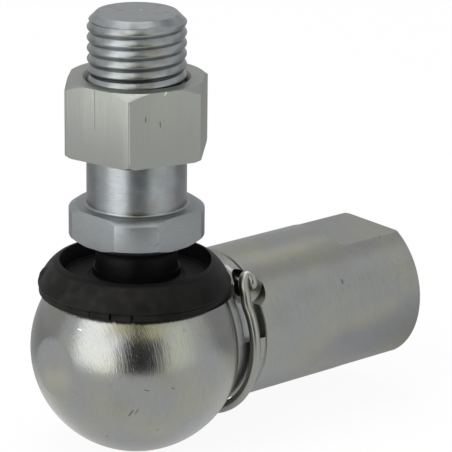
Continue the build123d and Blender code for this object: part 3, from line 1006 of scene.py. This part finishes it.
class BALLJOINT_OT_sealing_cap(bpy.types.Operator):
    """Rubber cap: skirt on the head and soft lip round the stud's neck"""

    bl_idname = "balljoint.sealing_cap"
    bl_label = "Sealing cap"

    def execute(self, context):
        size = context.scene.joint_sizes
        look = context.scene.joint_finishes
        low, high = CAP_LOW.z, CAP_HIGH.z
        under = size.head_radius + CAP_GAP
        hem_in = on_sphere(under, low)
        hem = CAP_HIGH.y - 0.15 * MM
        trench = size.boss_top - MM
        outer = eased([
            (low, hem_in),
            (low, hem, 0.15 * MM),
            (low + 0.85 * MM, hem),
            (low + 0.93 * MM, hem - 0.07 * MM),
            (low + 1.02 * MM, hem + 0.06 * MM),
            (low + 1.25 * MM, CAP_HIGH.y, 0.3 * MM),
            (low + 2.7 * MM, hem - 0.65 * MM, 3.0 * MM),
            (low + 3.0 * MM, hem - 0.85 * MM),
            (low + 3.3 * MM, hem - 1.07 * MM),
            (low + 3.75 * MM, hem - 1.45 * MM, 0.6 * MM),
            (low + 4.3 * MM, hem - 2.1 * MM, 0.5 * MM),
            (high, hem - 2.7 * MM, 0.05 * MM),
            (high - 0.05 * MM, hem - 2.9 * MM, 0.05 * MM),
            (high - 1.6 * MM, hem - 3.35 * MM, 0.5 * MM),
            (size.boss_top + 0.7 * MM, 10.25 * MM, 0.1 * MM),
            (size.boss_top + 0.7 * MM, 10.02 * MM),
            (size.boss_top + CAP_GAP, 10.02 * MM),
        ], 6)
        inner = [
            (size.boss_top + CAP_GAP, size.boss_radius + CAP_GAP),
            (trench + CAP_GAP, size.boss_radius + CAP_GAP),
            (trench + CAP_GAP, on_sphere(under, trench)),
        ]
        levels = [trench - (trench - low) * k / 8 for k in range(9)]
        seat = [(level, on_sphere(under, level)) for level in levels]
        outline = outer + inner + seat
        front = studio_front(context)
        nicks = [front + radians(a) for a in (-26, -13.4, -0.8)]
        slit = radians(0.7)
        squeezed = front + pi / 2
        nib = front - radians(86)

        def worn(along, radius, angle):
            if radius > hem - 3 * MM and along > low + 0.1 * MM:
                press = min((radius - hem + 3 * MM) / (0.3 * MM), 1)
                radius -= 0.55 * MM * press * max(cos(angle - squeezed), 0)**5
            if low + 2.4 * MM < along < low + 3.6 * MM and radius > hem - 2 * MM:
                radius += 0.45 * MM * max(1 - abs((angle - nib + pi) % (2 * pi) - pi) / radians(4), 0)
            if along < low + 0.99 * MM and radius > hem - 0.5 * MM:
                for k, nick in enumerate(nicks):
                    if abs((angle - nick + pi) % (2 * pi) - pi) < 0.5 * slit:
                        radius -= (0.15, 0.5, 0.5)[k] * MM
            return along, radius

        edges = [nick + slit * side for nick in nicks for side in (-1, -0.45, 0, 0.45, 1)]
        cap = turned("cap_skirt", "Z", outline, round_angles(240, edges), worn, smooth=40)
        edge_x = on_sphere(size.head_radius, size.neck_radius + size.head_step)
        over_neck = size.neck_radius + 0.1 * MM
        saddle = turned("saddle", "X", [(edge_x, 0), (edge_x, over_neck), (size.neck_end, over_neck),
                                        (size.neck_end, 0)], round_angles(160))
        keep = on_sphere(size.head_radius, trench) + 0.14 * MM
        core = turned("core", "Z", [(0, 0), (0, keep), (high, keep), (high, 0)], round_angles(120))
        cut(saddle, core)
        cut(cap, saddle)
        soften(cap, 35)
        skin = rubber("cap_rubber", look.rubber, look.rubber_roughness, hem - 1.9 * MM)
        dress(cap, skin)
        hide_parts("sealing_cap")
        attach(cap, "socket")

        lip_in = 5.9 * MM
        floor = size.boss_top + CAP_GAP
        lip_outline = eased([
            (floor + 0.02 * MM, 9.95 * MM),
            (floor + 0.6 * MM, 9.95 * MM),
            (floor + 0.6 * MM, 6.9 * MM, 0.4 * MM),
            (floor + 1.0 * MM, 6.2 * MM, 0.3 * MM),
            (floor + 1.95 * MM, 6.1 * MM),
            (floor + 1.95 * MM, lip_in),
            (floor + 0.8 * MM, lip_in, 0.3 * MM),
            (floor + 0.02 * MM, 6.6 * MM, 0.4 * MM),
            (floor + 0.02 * MM, 9.95 * MM),
        ], 5)
        lip = turned("cap_lip", "Z", lip_outline, round_angles(120), smooth=50)
        dress(lip, skin)
        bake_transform(lip)
        return {"FINISHED"}


class BALLJOINT_OT_safety_clip(bpy.types.Operator):
    """Spring wire: leg through the cross hole, bow round the neck and hook over the leg's end"""

    bl_idname = "balljoint.safety_clip"
    bl_label = "Safety clip"

    def execute(self, context):
        size = context.scene.joint_sizes
        look = context.scene.joint_finishes
        bow = size.neck_radius + 0.17 * MM + size.wire_radius
        leg_z = size.hole_z + 0.1 * MM
        mouth = on_sphere(size.neck_radius, leg_z)
        bow_x = size.neck_end - 3.37 * MM

        def on_bow(angle):
            across = bow * cos(radians(angle))
            return (bow_x - 0.06 * across, across, bow * sin(radians(angle)) - 0.18 * MM)

        hook_y = on_bow(385)[1] - 0.7 * MM
        hook_z = leg_z + 2 * size.wire_radius + 0.12 * MM
        # the leg leaves the cross hole, curls up and over beside its mouth and runs down into the bow
        curl = [(0.0, 1.1, 0.0), (-0.05, 0.35, 0.2), (-0.12, 0.0, 0.75), (-0.12, 0.35, 1.4),
                (-0.45, 0.85, 1.75), (-0.95, 0.75, 1.5), (-1.4, 0.4, 1.0), (-1.75, -0.05, 0.3),
                (-1.95, -0.6, -0.5)]
        path = [(size.hole_x, y, leg_z) for y in (hook_y + 1.1 * MM, 4 * MM, -4 * MM)]
        path += [(size.hole_x + x * MM, -mouth - 1.6 * MM + y * MM, leg_z + z * MM) for x, y, z in curl]
        path += [on_bow(147 + 238 * k / 26) for k in range(27)]
        path += [(size.hole_x - 2.6 * MM, hook_y + 0.1 * MM, leg_z - 0.3 * MM),
                 (size.hole_x - 2.2 * MM, hook_y, leg_z + 1.0 * MM),
                 (size.hole_x - 1.1 * MM, hook_y, hook_z - 0.05 * MM),
                 (size.hole_x, hook_y, hook_z),
                 (size.hole_x + 1.9 * MM, hook_y, hook_z)]
        curve = bpy.data.curves.new("clip_path", "CURVE")
        curve.dimensions = "3D"
        curve.resolution_u = 24
        spline = curve.splines.new("BEZIER")
        spline.bezier_points.add(len(path) - 1)
        for knot, spot in zip(spline.bezier_points, path):
            knot.co = spot
            knot.handle_left_type = knot.handle_right_type = "AUTO"
        wire = grow(put("clip_wire", curve), rod_tree(), Wire_Radius=size.wire_radius, Path_Points=420,
                    Sides=28)
        bevel(wire, 0.12 * MM, 50)
        soften(wire, 40)
        dress(wire, Finish("clip_steel", look.wire, 0.3).done())
        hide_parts("safety_clip")
        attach(wire, "socket")
        return {"FINISHED"}


class BALLJOINT_OT_snap_ring(bpy.types.Operator):
    """Finish of the ring that holds the ball in its socket"""

    bl_idname = "balljoint.snap_ring"
    bl_label = "Snap ring"

    def execute(self, context):
        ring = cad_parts["snap_ring"]
        ring.data.materials.clear()
        ring.data.materials.append(Finish("ring_steel", (0.2, 0.2, 0.205), 0.35).done())
        return {"FINISHED"}


class BALLJOINT_OT_stage(bpy.types.Operator):
    """Pale floor, soft light and the camera"""

    bl_idname = "balljoint.stage"
    bl_label = "Stage"

    def execute(self, context):
        studio = context.scene.joint_studio
        scene = context.scene
        scene.view_settings.view_transform = "Standard"

        world = bpy.data.worlds.new("surroundings")
        scene.world = world
        bench = blank_bench(world)
        light = bench.add("Background", (*studio.backdrop, 1), studio.sky)
        backdrop = bench.add("Background", (*studio.backdrop, 1), 1.0)
        mix = bench.add("MixShader", seen_rays(bench), light, backdrop)
        bench.add("OutputWorld", mix)

        ground = Matrix.Translation((0, 0, HOUSING_LOW.z)) @ Matrix.Rotation(studio.camera_turn, 4, "Z")
        floor = card("floor", ground @ Matrix.Translation((0, 0.3, 0)), 0.8, 0.76)
        paper = bpy.data.materials.new("pale_floor")
        bench = blank_bench(paper)
        glow = bench.add("Emission", (*studio.backdrop, 1), 1.0)
        matt = bench.add("BsdfDiffuse", (0.9, 0.9, 0.9, 1))
        ray = bench.add("LightPath").outputs
        mirrored = bench.math("MAXIMUM", ray["Is Glossy Ray"], ray["Is Transmission Ray"])
        # painted shadow: for mirrored rays the floor's glow is dimmed under the part and behind it, standing
        # in for its contact shadow in reflections
        spot = bench.add("NewGeometry").outputs["Position"]
        below_part = [(x, 0, HOUSING_LOW.z) for x in (0, HOUSING_HIGH.x - 5 * MM)]
        under = bench.group("soft_line", spot, *below_part, 14 * MM)
        away = bench.add("VectorMath", spot, (-sin(studio.camera_turn), cos(studio.camera_turn), 0),
                         operation="DOT_PRODUCT").outputs["Value"]
        behind = bench.ramp(away, 4 * MM, 30 * MM)
        shaded = bench.times(bench.times(mirrored, bench.math("MAXIMUM", under, behind)), MIRROR_SHADE)
        bench.wire(bench.minus(1.0, shaded), glow.inputs["Strength"])
        share = bench.math("MAXIMUM", bench.times(ray["Is Camera Ray"], FLOOR_SEEN), mirrored)
        bench.add("OutputMaterial", bench.add("MixShader", share, matt, glow))
        floor.data.materials.append(paper)

        for name, turn, rise, wide, high, shade, strength in (
            ("key_panel", -43, 26, 0.56, 1.06, (1.0, 1.0, 0.99), studio.key),
            ("top_panel", 180, 80, 0.44, 0.44, (1.0, 1.0, 1.0), studio.top),
            ("fill_panel", 50, 12, 0.32, 0.50, (0.97, 1.0, 0.98), studio.fill),
            ("camera_side", 5.5, 8, 0.48, 0.43, (0.045, 0.045, 0.046), 1),
            ("camera_arm", 4, 44, 0.15, 0.36, (0.06, 0.055, 0.04), 1),
            ("warm_panel_left", -19, 38, 0.24, 0.26, (1.0, 0.94, 0.60), studio.warm),
            ("warm_panel_right", 24, 38, 0.24, 0.26, (1.0, 0.94, 0.60), studio.warm),
            ("dim_right", 118, 4, 0.60, 0.50, (0.55, 0.55, 0.55), 1),
            ("dim_left", -118, 4, 0.56, 0.50, (0.65, 0.65, 0.65), 1),
            ("dim_back", 180, 22, 0.80, 0.50, (0.66, 0.66, 0.67), 1),
            ("dark_corner", 126, 52, 0.34, 0.20, (0.42, 0.42, 0.43), 1),
        ):
            around = Matrix.Rotation(studio.camera_turn + radians(turn), 4, "Z")
            aim = around @ Matrix.Rotation(radians(90 - rise), 4, "X")
            panel = card(name, aim @ Matrix.Translation((0, 0, PANEL_DISTANCE)), wide, high)
            panel.visible_camera = False
            surface = bpy.data.materials.new(name)
            bench = blank_bench(surface)
            bench.add("OutputMaterial", bench.add("Emission", (*shade, 1), strength))
            panel.data.materials.append(surface)

        camera = put("camera", bpy.data.cameras.new("camera"))
        camera.data.sensor_width = 36
        camera.data.lens = studio.lens
        camera.data.clip_start = 0.01
        turn, rise, roll = studio.camera_turn, studio.camera_rise, studio.camera_roll
        back = Vector((sin(turn) * cos(rise), -cos(turn) * cos(rise), sin(rise)))
        right = Vector((cos(turn), sin(turn), 0))
        up = back.cross(right)
        aim = right * studio.aim_right + up * studio.aim_up
        leaned = right * cos(roll) + up * sin(roll)
        lifted = back.cross(leaned)
        pose = Matrix((leaned, lifted, back)).transposed().to_4x4()
        pose.translation = aim + back * studio.distance
        camera.matrix_world = pose
        scene.camera = camera
        return {"FINISHED"}


class BALLJOINT_PT_panel(bpy.types.Panel):
    """Lists the joint's pieces"""

    bl_idname = "BALLJOINT_PT_panel"
    bl_label = "Angle Ball Joint"
    bl_space_type = "VIEW_3D"
    bl_region_type = "UI"
    bl_category = "Ball Joint"

    def draw(self, context):
        for operator in PIECES:
            self.layout.operator(operator.bl_idname)
        for group in (context.scene.joint_sizes, context.scene.joint_finishes, context.scene.joint_studio):
            box = self.layout.box()
            for name in group.__annotations__:
                box.prop(group, name)


PIECES = (
    BALLJOINT_OT_stage,
    BALLJOINT_OT_housing,
    BALLJOINT_OT_ball_stud,
    BALLJOINT_OT_hex_nut,
    BALLJOINT_OT_sealing_cap,
    BALLJOINT_OT_safety_clip,
    BALLJOINT_OT_snap_ring,
)
CLASSES = (JointSizes, JointFinishes, JointStudio, *PIECES, BALLJOINT_PT_panel)


def register():
    for kind in CLASSES:
        bpy.utils.register_class(kind)
    bpy.types.Scene.joint_sizes = PointerProperty(type=JointSizes)
    bpy.types.Scene.joint_finishes = PointerProperty(type=JointFinishes)
    bpy.types.Scene.joint_studio = PointerProperty(type=JointStudio)


def unregister():
    del bpy.types.Scene.joint_studio
    del bpy.types.Scene.joint_finishes
    del bpy.types.Scene.joint_sizes
    for kind in reversed(CLASSES):
        bpy.utils.unregister_class(kind)


def main():
    register()
    bpy.ops.balljoint.stage()
    bpy.ops.balljoint.housing()
    bpy.ops.balljoint.ball_stud()
    bpy.ops.balljoint.hex_nut()
    bpy.ops.balljoint.sealing_cap()
    bpy.ops.balljoint.safety_clip()
    bpy.ops.balljoint.snap_ring()


if __name__ == "__main__":
    main()
